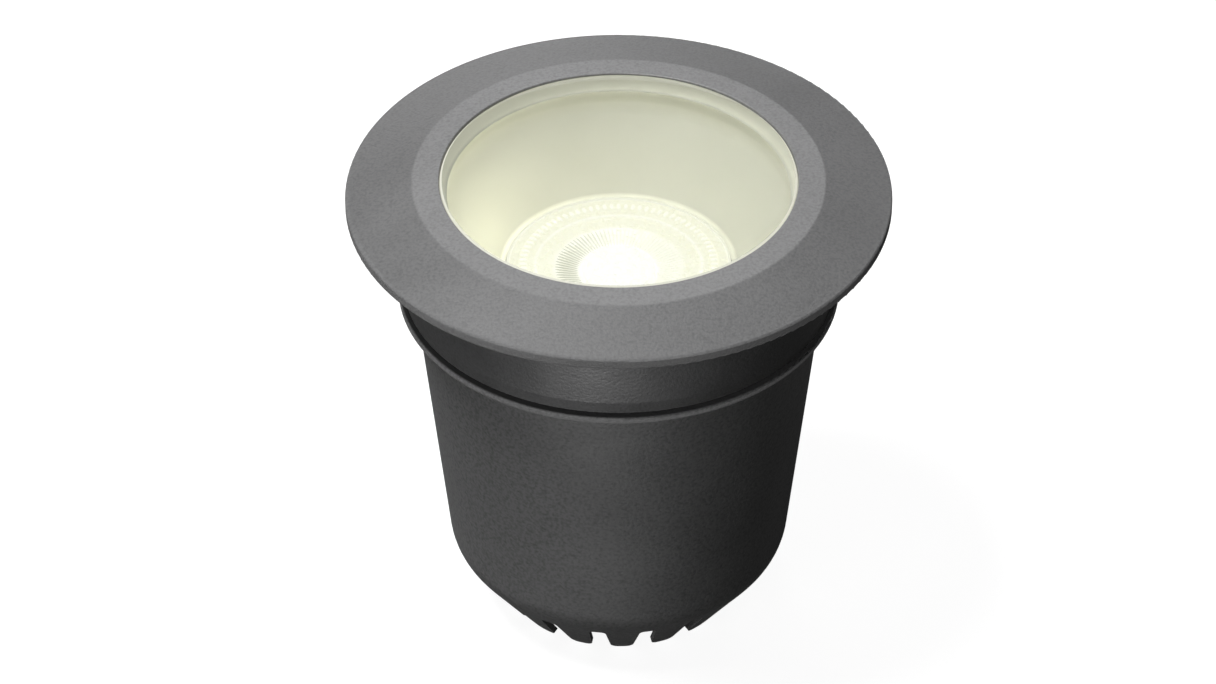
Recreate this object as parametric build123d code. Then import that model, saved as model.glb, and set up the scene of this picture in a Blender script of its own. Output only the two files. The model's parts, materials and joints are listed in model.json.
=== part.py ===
from build123d import *
import os
from math import asin, atan2, cos, hypot, pi, radians, sin, tan

# In ground well light: a luminaire that drops into a tapered mounting sleeve.
# Millimetres. Z is up, the origin is the centre of the foot's rim, and -Y is the front.

# Mounting sleeve: a tapered wall on a conical foot
foot_height = 15.2  # height of the sharp corner between foot and wall
foot_angle = 35.8  # degrees from vertical
foot_corner_radius = 11.0
sleeve_draft = 5.9  # degrees from vertical
sleeve_wall = 2.4
foot_wall = 1.4
lip_proud = 0.8  # how far the sleeve's lip stands out past the collar
lip_shelf = 3.33  # how far the lip stands out past the drafted wall
lip_height = 1.3
lip_edge_radius = 0.4

# Notches round the foot's rim
notch_count = 19
notch_height = 10.9
notch_top_width = 3.7
notch_rim_width = 4.3
notch_corner_radius = 1.1
tooth_tip_radius = 1.6
front_tooth_angle = -88.5  # degrees from +X to the middle of the front tooth

# Bezel ring
window_radius = 39.4
window_lip = 1.3
window_edge_radius = 0.25
ring_width = 5.9  # flat ring round the window
ring_rise = 0.4
ring_blend = 2.0
flange_overhang = 11.8  # how far the flange stands out past the collar
flange_edge = 2.4
flange_edge_radius = 0.5
flange_rise = 3.3
flange_rest_width = 2.6  # flat ring under the flange's edge
flange_skin = 2.2
bezel_shoulder = 2.7  # from the glass's pocket out to the collar's bore
collar_wall = 2.0
collar_height = 21.5
collar_bevel_height = 2.8
collar_bevel = 0.3
collar_root_radius = 1.2

# Glass, gasket and reflector
glass_tuck = 3.2  # how far the glass reaches out under the window's lip
glass_thickness = 8.0
glass_step = 1.4  # what stands up inside the bezel's window
glass_bevel = 0.4
gasket_wall = 0.6
gasket_foot = 0.8
gasket_relief = 0.5
gasket_sight = 1.7  # how far the gasket shows inside the window
reflector_wall = 1.2
reflector_rim = 1.0
reflector_rim_width = 3.5
reflector_straight = 0.75  # upright band between the rim's underside and the knee
reflector_knee_radius = 5.0
reflector_overlap = 1.5  # how far the funnel's mouth reaches down past the lamp's face
reflector_set_back = 0.4  # the gasket's edge stands in front of the funnel's

# Housing
gland_foot_gap = 2.9  # from the plane of the foot's rim up to the gland
pot_gap = 3.0  # between the pot and the sleeve, all the way down
pot_wall = 2.4
pot_floor = 3.0
pot_corner_radius = 5.0
neck_wall = 6.2
neck_root = 4.0
thread_depth = 0.9
thread_land = 1.2  # plain neck between the O-ring's groove and the thread's relief
o_ring_section = 2.0
o_ring_height = 3.6  # above the neck's lower face
key_count = 3
key_width = 6.0
key_height = 5.0
key_bite = 0.9
key_start_angle = 90.0

# Lamp
lamp_radius = 25.0
lamp_drop = 20.0  # from the glass down to the lamp's face
lamp_length = 46.3  # from its face to the end of its base
lamp_rim = 3.5
lamp_wall = 1.6
lamp_waist_radius = 15.2
lamp_base_radius = 14.2
lamp_base_end_radius = 12.6
lamp_base_length = 9.0
lamp_base_edge = 1.0
lamp_edge_radius = 0.3
lamp_shoulder_radius = 2.0
lamp_collar_height = 6.0  # the cylinder-like end of the lamp's body, above its base
lamp_collar_flare = 1.0
lens_thickness = 3.0
lens_margin = 0.6
lens_relief = 0.4  # depth of one step in the lens's face
lens_cup_depth = 2.0
lens_eye_radius = 8.6
bead_inset = 2.0  # from the lens's edge to its raised ring
bead_width = 2.2
step_inset = 6.0
cup_inset = 10.0
board_depth = 7.0
board_thickness = 1.6
chip_radius = 8.0
chip_height = 0.8
pin_spacing = 10.0
pin_radius = 1.6
pin_head_radius = 2.5
pin_length = 7.2
pin_head_length = 2.8
pin_embedded = 5.0
twist_angle = 25.0

# Lampholder on its bracket
holder_radius = 15.5
holder_lift = 7.2  # space for the wires under the holder
holder_height = 13.0
holder_edge_radius = 1.2
holder_counterbore = 3.0
contact_width = 4.0
contact_thickness = 1.2
contact_reach = 11.5
lead_offset = 10.0
chamber_edge = 0.9  # air between a pin's sweep and its chamber's wall
holder_screw_x = 11.0
bracket_thickness = 1.0
bracket_width = 14.0
bracket_boss_x = 21.0

# Screws, one small size throughout
screw_radius = 1.5
screw_head_radius = 2.75
screw_head = 1.6
screw_bite = 4.6
dome_share = 0.35  # of the head's height
drive_depth_share = 0.5  # of the head's height
drive_width_share = 0.8  # of the head's radius, across flats
boss_radius = 4.0
boss_height = 3.0

# Wiring
terminal_pitch = 8.0
terminal_depth = 9.0
terminal_height = 10.0
terminal_end = 4.5
terminal_y = -22.0
terminal_lift = 9.0
terminal_screw_radius = 1.8
terminal_slot_width = 0.6
terminal_slot_depth = 0.8
block_boss_radius = 2.7
block_head_radius = 2.4
block_groove_width = 1.6
block_groove_depth = 2.0
block_roof = 2.0  # above a way's blind end
clamp_share = 0.55  # clamp screws' place up the block's height
wire_radius = 1.1
wire_bend = 3.0
wire_floor_gap = 1.5
wire_end_gap = 1.0
earth_x = -21.0
earth_y = -12.0
tag_thickness = 0.8
tag_radius = 3.6
tag_neck_length = 0.8
tag_neck_width = 3.2
barrel_radius = 1.9
barrel_length = 5.0
barrel_overlap = 1.0
barrel_stop = 0.8

# Cable gland
gland_y = 15.0
gland_thread_radius = 6.0
gland_across_flats = 15.0
gland_washer = 1.0
gland_hex = 3.5
gland_stub = 5.5
gland_stub_radius = 6.4
gland_bore = 4.3
locknut_height = 3.5
thread_over = 1.0
seal_radius = 5.2
seal_bore = 3.2
seal_length = 4.3
nut_mouth_radius = 3.6
nut_mouth = 2.1
nut_dome_radius = 5.2
nut_dome_height = 3.7
nut_mouth_edge = 1.0
nut_shoulder_radius = 2.0

# Friction springs
spring_count = 3
spring_start_angle = 30.0
spring_width = 9.0
spring_thickness = 0.6
spring_tab = 10.0
spring_bow = 26.0
spring_drop = 9.0  # from the sleeve's rim down to the spring's upper end
spring_boss_radius = 3.6
spring_boss_height = 2.3
spring_boss_floor = 0.6
spring_screw_length = 3.7

# Clearances
rest_gap = 0.2  # housing above the sleeve's rim
seat_gap = 0.1  # gasket above the neck, funnel below the neck's top
collar_gap = 0.7  # the dark line between collar and sleeve
lip_clearance = 0.2  # bezel above the glass's shoulder
window_clearance = 0.25
pocket_clearance = 0.3
thread_clearance = 0.08
shoulder_clearance = 0.3
rim_clearance = 0.3
lamp_clearance = 0.3
key_clearance = 0.3
base_clearance = 0.2
head_clearance = 0.3
slot_clearance = 0.3
fit_clearance = 0.05
spring_clearance = 0.5

cut_over = 1.0  # how far a cutter runs past what it cuts

# Radii that follow from the window
sight_radius = window_radius - gasket_sight
ring_radius = window_radius + ring_width
glass_radius = window_radius + glass_tuck
gasket_radius = glass_radius + gasket_wall
pocket_radius = gasket_radius + pocket_clearance
bezel_bore = pocket_radius + bezel_shoulder
collar_radius = bezel_bore + collar_wall
flange_radius = collar_radius + flange_overhang
lip_radius = collar_radius + lip_proud
neck_radius = bezel_bore - thread_clearance
neck_bore = neck_radius - neck_wall
rim_radius = sight_radius + reflector_rim_width
throat_radius = sight_radius + reflector_set_back
mouth_radius = lamp_radius + lamp_clearance
lens_radius = lamp_radius - lens_margin
screw_hole = screw_radius + fit_clearance

# Heights that follow, from the foot up
gland_low = gland_foot_gap + nut_mouth
pot_bottom = gland_low + gland_stub + gland_hex + gland_washer
pot_floor_top = pot_bottom + pot_floor
boss_top = pot_floor_top + boss_height
terminal_bottom = pot_floor_top + terminal_lift
holder_bottom = pot_floor_top + holder_lift
holder_top = holder_bottom + holder_height
bracket_bottom = holder_bottom - bracket_thickness
lamp_end = holder_top + base_clearance
lamp_base_top = lamp_end + lamp_base_length
lamp_face = lamp_end + lamp_length
pin_tip = lamp_end - pin_length
head_top = pin_tip + pin_head_length
web_under = head_top + head_clearance
contact_top = pin_tip - head_clearance
contact_under = contact_top - contact_thickness
glass_bottom = lamp_face + lamp_drop
glass_top = glass_bottom + glass_thickness
glass_shoulder = glass_top - glass_step
lip_under = glass_shoulder + lip_clearance
bezel_top = lip_under + window_lip
ring_z = bezel_top - ring_rise
flange_top = ring_z - flange_rise
flange_bottom = flange_top - flange_edge
collar_bottom = flange_bottom - collar_height
sleeve_height = collar_bottom - collar_gap
neck_bottom = sleeve_height + rest_gap
gasket_bottom = glass_bottom - gasket_foot
neck_top = gasket_bottom - seat_gap
rim_top = neck_top - seat_gap
rim_bottom = rim_top - reflector_rim
terminal_width = 2 * terminal_pitch + 2 * terminal_end
wire_top = terminal_bottom + terminal_height - block_roof - wire_end_gap


def sleeve_outside(z):
    """Radius of the sleeve's drafted outer face at a height."""
    return lip_radius - lip_shelf - (sleeve_height - z) * tan(radians(sleeve_draft))


def sleeve_inside(z):
    """Radius of the sleeve's drafted inner face at a height."""
    return sleeve_outside(z) - sleeve_wall / cos(radians(sleeve_draft))


def pot_outside(z):
    """Radius of the housing's pot at a height: it follows the sleeve."""
    return sleeve_inside(z) - pot_gap


def pot_inside(z):
    """Radius of the pot's inner face at a height."""
    return pot_outside(z) - pot_wall / cos(radians(sleeve_draft))


def turned(*corners):
    """Body turned about Z from corners of (radius, height) or (radius, height, rounding)."""
    face = make_face(Polyline([corner[:2] for corner in corners], close=True)).face()
    for corner in corners:
        if len(corner) == 3:
            nearest = face.vertices().sort_by_distance((corner[0], corner[1], 0))[0]
            face = face.fillet_2d(corner[2], [nearest])
    return revolve(Plane.XZ * face, Axis.Z)


def post(radius, low, high, x=0.0, y=0.0):
    """Round post between two heights."""
    upright = Cylinder(radius, high - low, align=(Align.CENTER, Align.CENTER, Align.MIN))
    return Pos(x, y, low) * upright


def block(x, y, z):
    """Box from three (low, high) pairs."""
    low = (Align.MIN, Align.MIN, Align.MIN)
    return Pos(x[0], y[0], z[0]) * Box(x[1] - x[0], y[1] - y[0], z[1] - z[0], align=low)


def hexagon(across, low, high, x=0.0, y=0.0):
    """Hexagonal prism between two heights."""
    return Pos(x, y, low) * extrude(RegularPolygon(across / 2, 6, major_radius=False), high - low)


def screw(head_under, length, head_radius=screw_head_radius, head=screw_head):
    """Pan head screw standing on the origin of its head's underside, pointing down."""
    body = post(screw_radius, -length, 0) + post(head_radius, 0, head)
    top_edge = body.edges().group_by(Axis.Z)[-1]
    body = fillet(top_edge, head * dome_share)
    drive = hexagon(head_radius * drive_width_share, head * (1 - drive_depth_share), head + cut_over)
    return Pos(0, 0, head_under) * (body - drive)


def around(shape, count, start):
    """Copies of a shape made at +X, turned about Z."""
    return [Rot(0, 0, start + 360 * k / count) * shape for k in range(count)]


def wall_plane(z):
    """Plane on the pot's outer face at +X: X runs down the wall, Y across it, Z outwards."""
    draft = radians(sleeve_draft)
    outward = (cos(draft), 0, -sin(draft))
    down = (-sin(draft), 0, -cos(draft))
    return Plane(origin=(pot_outside(z), 0, z), x_dir=down, z_dir=outward)


def notch():
    """Cutter for one notch of the foot, at +X: wider at the rim, with rounded corners."""
    top = notch_top_width / 2
    rim = notch_rim_width / 2
    tip = tooth_tip_radius
    side = rim + (top - rim) * tip / notch_height
    bend = tip * (1 - cos(pi / 4))
    profile = Polyline((-rim - tip, -cut_over), (-rim - tip, 0))
    profile += ThreePointArc((-rim - tip, 0), (-side - bend, bend), (-side, tip))
    profile += Polyline((-side, tip), (-top, notch_height), (top, notch_height), (side, tip))
    profile += ThreePointArc((side, tip), (side + bend, bend), (rim + tip, 0))
    profile += Polyline((rim + tip, 0), (rim + tip, -cut_over), (-rim - tip, -cut_over))
    face = make_face(profile).face()
    corners = face.vertices().sort_by(Axis.Y)[-2:]
    face = face.fillet_2d(notch_corner_radius, corners)
    return extrude(Plane.YZ * face, sleeve_outside(sleeve_height))


def mounting_sleeve():
    """Tapered sleeve on a conical foot whose rim is notched for water and the cable."""
    cone = tan(radians(foot_angle))
    draft = tan(radians(sleeve_draft))
    cone_wall = foot_wall / cos(radians(foot_angle))
    side_wall = sleeve_wall / cos(radians(sleeve_draft))
    inner_height = foot_height + (cone_wall - side_wall) / (cone - draft)
    lip_bottom = sleeve_height - lip_height
    foot_corner = sleeve_outside(foot_height)
    foot_rim_radius = foot_corner - foot_height * cone
    body = turned(
        (foot_rim_radius - cone_wall, 0),
        (foot_rim_radius, 0),
        (foot_corner, foot_height, foot_corner_radius),
        (sleeve_outside(lip_bottom), lip_bottom),
        (lip_radius, lip_bottom),
        (lip_radius, sleeve_height, lip_edge_radius),
        (sleeve_inside(sleeve_height), sleeve_height),
        (sleeve_inside(inner_height), inner_height, foot_corner_radius - sleeve_wall),
    )
    first = front_tooth_angle + 180 / notch_count
    for cutter in around(notch(), notch_count, first):
        body -= cutter
    slot_width = key_width / 2 + key_clearance
    slot_reach = sleeve_inside(sleeve_height) + key_bite + key_clearance
    slot_low = neck_bottom - key_height - key_clearance
    slot_high = sleeve_height + cut_over
    slot = block((0, slot_reach), (-slot_width, slot_width), (slot_low, slot_high))
    for cutter in around(slot, key_count, key_start_angle):
        body -= cutter
    return body


def bezel_ring():
    """Screw-down ring: sloping flange, flat inner ring, collar with a plain bore for its thread."""
    relief_out = flange_radius - flange_rest_width
    relief_in = collar_radius + collar_root_radius
    slope = flange_rise / (flange_radius - ring_radius)
    relief_out_z = flange_top + slope * (flange_radius - relief_out) - flange_skin
    relief_in_z = flange_top + slope * (flange_radius - relief_in) - flange_skin
    pocket_floor = neck_top + shoulder_clearance
    return turned(
        (window_radius, lip_under),
        (window_radius, bezel_top, window_edge_radius),
        (ring_radius, ring_z, ring_blend),
        (flange_radius, flange_top, flange_edge_radius),
        (flange_radius, flange_bottom, flange_edge_radius),
        (relief_out, flange_bottom),
        (relief_out, relief_out_z),
        (relief_in, relief_in_z),
        (relief_in, flange_bottom),
        (collar_radius, flange_bottom),
        (collar_radius, collar_bottom + collar_bevel_height),
        (collar_radius - collar_bevel, collar_bottom),
        (bezel_bore, collar_bottom),
        (bezel_bore, pocket_floor),
        (pocket_radius, pocket_floor),
        (pocket_radius, lip_under),
    )


def glass_pane():
    """Thick stepped glass: its upper step fills the window, its shoulder sits under the lip."""
    step_radius = window_radius - window_clearance
    return turned(
        (0, glass_bottom),
        (glass_radius - glass_bevel, glass_bottom),
        (glass_radius, glass_bottom + glass_bevel),
        (glass_radius, glass_shoulder - glass_bevel),
        (glass_radius - glass_bevel, glass_shoulder),
        (step_radius, glass_shoulder),
        (step_radius, glass_top - glass_bevel),
        (step_radius - glass_bevel, glass_top),
        (0, glass_top),
    )


def glass_gasket():
    """Angle-section rubber ring under and round the glass."""
    return turned(
        (sight_radius, gasket_bottom),
        (gasket_radius, gasket_bottom),
        (gasket_radius, glass_shoulder - gasket_relief),
        (glass_radius, glass_shoulder - gasket_relief),
        (glass_radius, glass_bottom),
        (sight_radius, glass_bottom),
    )


def funnel_corner(mouth_z):
    """Height where the funnel's cone would meet its upright band, before the knee is rounded."""
    knee_top = rim_bottom - reflector_straight
    out = throat_radius - reflector_knee_radius - mouth_radius
    up = knee_top - mouth_z
    slope = atan2(out, up) + asin(reflector_knee_radius / hypot(out, up))
    return knee_top - reflector_knee_radius * tan(slope / 2)


def reflector_cone():
    """White funnel that hangs by its rim from the neck and ends round the lamp."""
    mouth_z = lamp_face - reflector_overlap
    knee_z = funnel_corner(mouth_z)
    return turned(
        (throat_radius, rim_top),
        (rim_radius, rim_top),
        (rim_radius, rim_bottom),
        (throat_radius + reflector_wall, rim_bottom),
        (throat_radius + reflector_wall, knee_z, reflector_knee_radius + reflector_wall),
        (mouth_radius + reflector_wall, mouth_z),
        (mouth_radius, mouth_z),
        (throat_radius, knee_z, reflector_knee_radius),
    )


def neck_groove():
    """Lower and upper height of the O-ring's groove."""
    middle = neck_bottom + o_ring_height
    half = o_ring_section * 0.6
    return middle - half, middle + half


def housing_shell():
    """The turned form of the housing: drafted pot and thick neck, relieved for its thread."""
    groove_low, groove_high = neck_groove()
    groove_radius = neck_radius - o_ring_section - fit_clearance
    relief_low = groove_high + thread_land
    relief_radius = neck_radius - thread_depth
    root_z = neck_bottom + neck_root
    recess = rim_radius + rim_clearance
    return turned(
        (0, pot_bottom),
        (pot_outside(pot_bottom), pot_bottom, pot_corner_radius),
        (pot_outside(neck_bottom), neck_bottom),
        (neck_radius, neck_bottom),
        (neck_radius, groove_low),
        (groove_radius, groove_low),
        (groove_radius, groove_high),
        (neck_radius, groove_high),
        (neck_radius, relief_low),
        (relief_radius, relief_low + thread_depth),
        (relief_radius, neck_top),
        (recess, neck_top),
        (recess, rim_bottom),
        (neck_bore, rim_bottom),
        (neck_bore, root_z + neck_bore - pot_inside(root_z)),
        (pot_inside(root_z), root_z),
        (pot_inside(pot_floor_top), pot_floor_top, pot_corner_radius - pot_wall),
        (0, pot_floor_top),
    )


def spring_screw_z():
    """Height of the spring's screw."""
    return sleeve_height - spring_drop - spring_tab / 2


def housing():
    """Sealed pot with bosses for bracket, terminal block, earth and springs, and locating keys."""
    body = housing_shell()
    for x in (-bracket_boss_x, bracket_boss_x):
        body += post(boss_radius, pot_floor_top, boss_top, x)
    body += post(boss_radius, pot_floor_top, boss_top, earth_x, earth_y)
    block_x = terminal_pitch / 2
    body += post(block_boss_radius, pot_floor_top, terminal_bottom, block_x, terminal_y)
    wall = wall_plane(spring_screw_z())
    inside = -pot_wall - spring_boss_height
    spring_boss = wall * post(spring_boss_radius, inside, -pot_wall / 2)
    for boss in around(spring_boss, spring_count, spring_start_angle):
        body += boss
    key_reach = sleeve_inside(sleeve_height) + key_bite
    key_root = pot_outside(neck_bottom) - pot_wall / 2
    key_side = key_width / 2
    key_low = neck_bottom - key_height
    key = block((key_root, key_reach), (-key_side, key_side), (key_low, neck_bottom))
    for lug in around(key, key_count, key_start_angle):
        body += lug
    depth = screw_bite + head_clearance
    holes = [post(screw_hole, boss_top - depth, boss_top, earth_x, earth_y)]
    for x in (-bracket_boss_x, bracket_boss_x):
        holes.append(post(screw_hole, boss_top - depth, boss_top, x))
    holes.append(post(screw_hole, terminal_bottom - depth, terminal_bottom, block_x, terminal_y))
    holes.append(post(gland_thread_radius + fit_clearance, pot_bottom, pot_floor_top, 0, gland_y))
    spring_hole = wall * post(screw_hole, inside + spring_boss_floor, cut_over)
    holes += around(spring_hole, spring_count, spring_start_angle)
    for hole in holes:
        body -= hole
    return body


def housing_o_ring():
    """Round rubber ring in the neck's groove, which seals against the bezel's bore."""
    section = o_ring_section / 2
    return Pos(0, 0, neck_bottom + o_ring_height) * Torus(neck_radius - section, section)


def lamp_shell():
    """Hollow reflector-lamp body: straight rim, tapering skirt, recess for the lens."""
    lens_seat = lamp_face - lens_thickness
    board_low = lamp_face - board_depth - board_thickness
    seat_radius = lens_radius - lamp_wall
    core_radius = lamp_waist_radius - lamp_wall
    collar_top = lamp_base_top + lamp_collar_height
    return turned(
        (0, lamp_base_top),
        (lamp_waist_radius, lamp_base_top, lamp_wall),
        (lamp_waist_radius + lamp_collar_flare, collar_top, lamp_shoulder_radius),
        (lamp_radius, lamp_face - lamp_rim, lamp_shoulder_radius),
        (lamp_radius, lamp_face, lamp_edge_radius),
        (lens_radius, lamp_face),
        (lens_radius, lens_seat),
        (seat_radius, lens_seat),
        (seat_radius, board_low),
        (core_radius, collar_top + lamp_wall),
        (core_radius, lamp_base_top + lamp_wall),
        (0, lamp_base_top + lamp_wall),
    )


def lamp_lens():
    """Lens disc: outer land, raised ring, step, and a cup that falls to a raised eye."""
    edge = lens_radius - fit_clearance
    land = lamp_face - lens_relief
    low_land = land - lens_relief
    ring_out = edge - bead_inset
    ring_in = ring_out - bead_width
    step = edge - step_inset
    return turned(
        (0, lamp_face - lens_thickness),
        (edge, lamp_face - lens_thickness),
        (edge, land),
        (ring_out, land),
        (ring_out - lens_relief, lamp_face),
        (ring_in + lens_relief, lamp_face),
        (ring_in, land),
        (step, land),
        (step - lens_relief, low_land),
        (edge - cup_inset, low_land),
        (lens_eye_radius, lamp_face - lens_cup_depth),
        (lens_eye_radius - lens_relief, low_land, lens_relief),
        (0, low_land),
    )


def lamp_led_board():
    """Round board under the lens with one raised light-emitting chip."""
    top = lamp_face - board_depth
    edge = lens_radius - lamp_wall - fit_clearance
    return post(edge, top - board_thickness, top) + post(chip_radius, top, top + chip_height)


def lamp_base():
    """White base of the lamp with sockets for its pins."""
    body = turned(
        (0, lamp_end),
        (lamp_base_end_radius, lamp_end, lamp_base_edge),
        (lamp_base_radius, lamp_base_top),
        (0, lamp_base_top),
    )
    for x in (-pin_spacing / 2, pin_spacing / 2):
        body -= post(pin_radius + fit_clearance, lamp_end, lamp_end + pin_embedded, x)
    return body


def lamp_pins():
    """Two contact pins, each with a wider head at its tip."""
    pins = []
    for x in (-pin_spacing / 2, pin_spacing / 2):
        shank = post(pin_radius, head_top, lamp_end + pin_embedded, x)
        pins.append(shank + post(pin_head_radius, pin_tip, head_top, x))
    return pins


def pin_sweep(radius, low, high):
    """Space that a pin of this radius sweeps as the lamp turns out of its lock."""
    orbit = CenterArc((0, 0), pin_spacing / 2, 0, twist_angle)
    return Pos(0, 0, low) * extrude(SlotArc(orbit, 2 * radius), high - low)


def lampholder_cover():
    """Ceramic cover with two keyholes: the pins' heads drop in and turn under its slots."""
    body = turned(
        (0, web_under),
        (holder_radius, web_under),
        (holder_radius, holder_top, holder_edge_radius),
        (0, holder_top),
    )
    entry_post = post(pin_head_radius + slot_clearance, web_under, holder_top, pin_spacing / 2)
    keyhole = pin_sweep(pin_radius + slot_clearance, web_under, holder_top)
    keyhole += Rot(0, 0, twist_angle) * entry_post
    for turn in (0, 180):
        body -= Rot(0, 0, turn) * keyhole
    sink = holder_top - holder_counterbore
    for x in (-holder_screw_x, holder_screw_x):
        body -= post(screw_hole, web_under, holder_top, x)
        body -= post(screw_head_radius + slot_clearance, sink, holder_top, x)
    return body


def lampholder_body():
    """Ceramic body under the cover, with a chamber and a contact slot for each pin."""
    body = turned(
        (0, holder_bottom),
        (holder_radius, holder_bottom, holder_edge_radius),
        (holder_radius, web_under),
        (0, web_under),
    )
    reach = pin_head_radius + chamber_edge
    turned_x = pin_spacing / 2 * cos(radians(twist_angle))
    turned_y = pin_spacing / 2 * sin(radians(twist_angle))
    side = (turned_x - pin_head_radius - slot_clearance, pin_spacing / 2 + reach)
    chamber = block(side, (-reach, turned_y + reach), (contact_top, web_under))
    lead_top = contact_under - fit_clearance
    half = contact_width / 2 + fit_clearance
    for turn in (0, 180):
        body -= Rot(0, 0, turn) * chamber
    for x in (-pin_spacing / 2, pin_spacing / 2):
        strip = (-contact_reach - fit_clearance, half)
        body -= block((x - half, x + half), strip, (lead_top, contact_top))
        body -= post(wire_radius + fit_clearance, holder_bottom, lead_top, x, -lead_offset)
    for x in (-holder_screw_x, holder_screw_x):
        body -= post(screw_hole, holder_bottom, web_under, x)
    return body


def holder_contacts():
    """Two spring contacts that lie under the pins' heads and reach over the leads."""
    half = contact_width / 2
    height = (contact_under, contact_top)
    strips = []
    for x in (-pin_spacing / 2, pin_spacing / 2):
        strips.append(block((x - half, x + half), (-contact_reach, half), height))
    return strips


def holder_screws():
    """Screws from the holder's face into the bracket."""
    under = holder_top - holder_counterbore
    made = screw(under, under - bracket_bottom)
    return [Pos(x, 0, 0) * made for x in (-holder_screw_x, holder_screw_x)]


def holder_bracket():
    """Steel strap: a raised seat for the holder between two feet."""
    half = bracket_width / 2
    foot_end = bracket_boss_x + boss_radius
    leg = bracket_boss_x - boss_radius - slot_clearance
    foot_top = boss_top + bracket_thickness
    profile = Polyline(
        (foot_end, boss_top),
        (foot_end, foot_top),
        (leg, foot_top),
        (leg, holder_bottom),
        (-leg, holder_bottom),
        (-leg, foot_top),
        (-foot_end, foot_top),
        (-foot_end, boss_top),
        (-leg + bracket_thickness, boss_top),
        (-leg + bracket_thickness, bracket_bottom),
        (leg - bracket_thickness, bracket_bottom),
        (leg - bracket_thickness, boss_top),
        close=True,
    )
    body = extrude(Plane.XZ * make_face(profile), half, both=True)
    for x in (-holder_screw_x, holder_screw_x):
        body -= post(screw_hole, bracket_bottom, holder_bottom, x)
    for x in (-bracket_boss_x, bracket_boss_x):
        body -= post(screw_hole, boss_top, foot_top, x)
    return body


def bracket_screws():
    """Screws through the bracket's feet into the housing's bosses."""
    made = screw(boss_top + bracket_thickness, screw_bite)
    return [Pos(x, 0, 0) * made for x in (-bracket_boss_x, bracket_boss_x)]


def terminal_block():
    """Three-way block: a wire enters each way from below, under a clamp screw from the front."""
    half = terminal_width / 2
    low = terminal_bottom
    high = terminal_bottom + terminal_height
    front = terminal_y - terminal_depth / 2
    back = terminal_y + terminal_depth / 2
    body = block((-half, half), (front, back), (low, high))
    for x in (-terminal_pitch / 2, terminal_pitch / 2):
        groove = (x - block_groove_width / 2, x + block_groove_width / 2)
        body -= block(groove, (front, front + block_groove_depth), (low, high))
        body -= block(groove, (back - block_groove_depth, back), (low, high))
    body -= post(screw_hole, low, high, terminal_pitch / 2, terminal_y)
    for way in (-terminal_pitch, 0, terminal_pitch):
        body -= post(wire_radius + fit_clearance, low, high - block_roof, way, terminal_y)
        body -= clamp_hole(way, terminal_screw_radius + fit_clearance)
    return body


def clamp_hole(way, radius):
    """Round bar where a clamp screw enters the block from its front face."""
    reach = terminal_depth / 2 - wire_radius - fit_clearance
    bar = Cylinder(radius, reach, align=(Align.CENTER, Align.CENTER, Align.MIN))
    z = terminal_bottom + terminal_height * clamp_share
    return Pos(way, terminal_y - terminal_depth / 2, z) * Rot(-90, 0, 0) * bar


def terminal_screws():
    """One clamp screw for each way, with a slotted head."""
    front = terminal_y - terminal_depth / 2
    depth = (front, front + terminal_slot_depth)
    height = (terminal_bottom, terminal_bottom + terminal_height)
    screws = []
    for way in (-terminal_pitch, 0, terminal_pitch):
        width = (way - terminal_slot_width / 2, way + terminal_slot_width / 2)
        screws.append(clamp_hole(way, terminal_screw_radius) - block(width, depth, height))
    return screws


def terminal_block_screw():
    """Screw that holds the block on its boss."""
    under = terminal_bottom + terminal_height
    made = screw(under, terminal_height + screw_bite, block_head_radius)
    return Pos(terminal_pitch / 2, terminal_y, 0) * made


def earth_frame():
    """Earth screw's place, with X pointing to the wire that comes to it."""
    start = Vector(earth_x, earth_y, boss_top)
    toward = Vector(-terminal_pitch, terminal_y, boss_top) - start
    return Plane(origin=start, x_dir=toward, z_dir=(0, 0, 1)), toward.length


def earth_tag():
    """Ring tag on the earth boss with a crimped barrel."""
    frame, _ = earth_frame()
    barrel_start = tag_radius + tag_neck_length
    neck = (-tag_neck_width / 2, tag_neck_width / 2)
    flat = post(tag_radius, 0, tag_thickness)
    flat += block((0, barrel_start + barrel_overlap), neck, (0, tag_thickness))
    along = Pos(barrel_start, 0, barrel_radius) * Rot(0, 90, 0)
    body = flat + along * post(barrel_radius, 0, barrel_length)
    body -= post(screw_hole, 0, tag_thickness)
    return frame * (body - along * post(wire_radius + fit_clearance, barrel_stop, barrel_length))


def earth_screw():
    """Screw that holds the earth tag on its boss."""
    return Pos(earth_x, earth_y, 0) * screw(boss_top + tag_thickness, screw_bite)


def wire(*route):
    """Insulated wire along straight runs with tangent bends."""
    path = FilletPolyline(*route, radius=wire_bend)
    return sweep((path ^ 0) * Circle(wire_radius), path=path)


def lead_wire(lead_x, way):
    """Wire from a lead hole of the holder down and across to a way of the block."""
    low = pot_floor_top + wire_floor_gap + wire_radius
    return wire(
        (lead_x, -lead_offset, contact_under - 2 * fit_clearance),
        (lead_x, -lead_offset, low),
        (way, terminal_y, low),
        (way, terminal_y, wire_top),
    )


def live_wire():
    """Live wire, from the left contact to the middle way."""
    return lead_wire(-pin_spacing / 2, 0)


def neutral_wire():
    """Neutral wire, from the right contact to the right-hand way."""
    return lead_wire(pin_spacing / 2, terminal_pitch)


def earth_wire():
    """Earth wire, from the left-hand way to the tag's barrel."""
    frame, reach = earth_frame()
    inner_end = tag_radius + tag_neck_length + barrel_overlap
    end = frame.from_local_coords(Vector(inner_end, 0, barrel_radius))
    corner = frame.from_local_coords(Vector(reach, 0, barrel_radius))
    return wire((-terminal_pitch, terminal_y, wire_top), tuple(corner), tuple(end))


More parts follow.
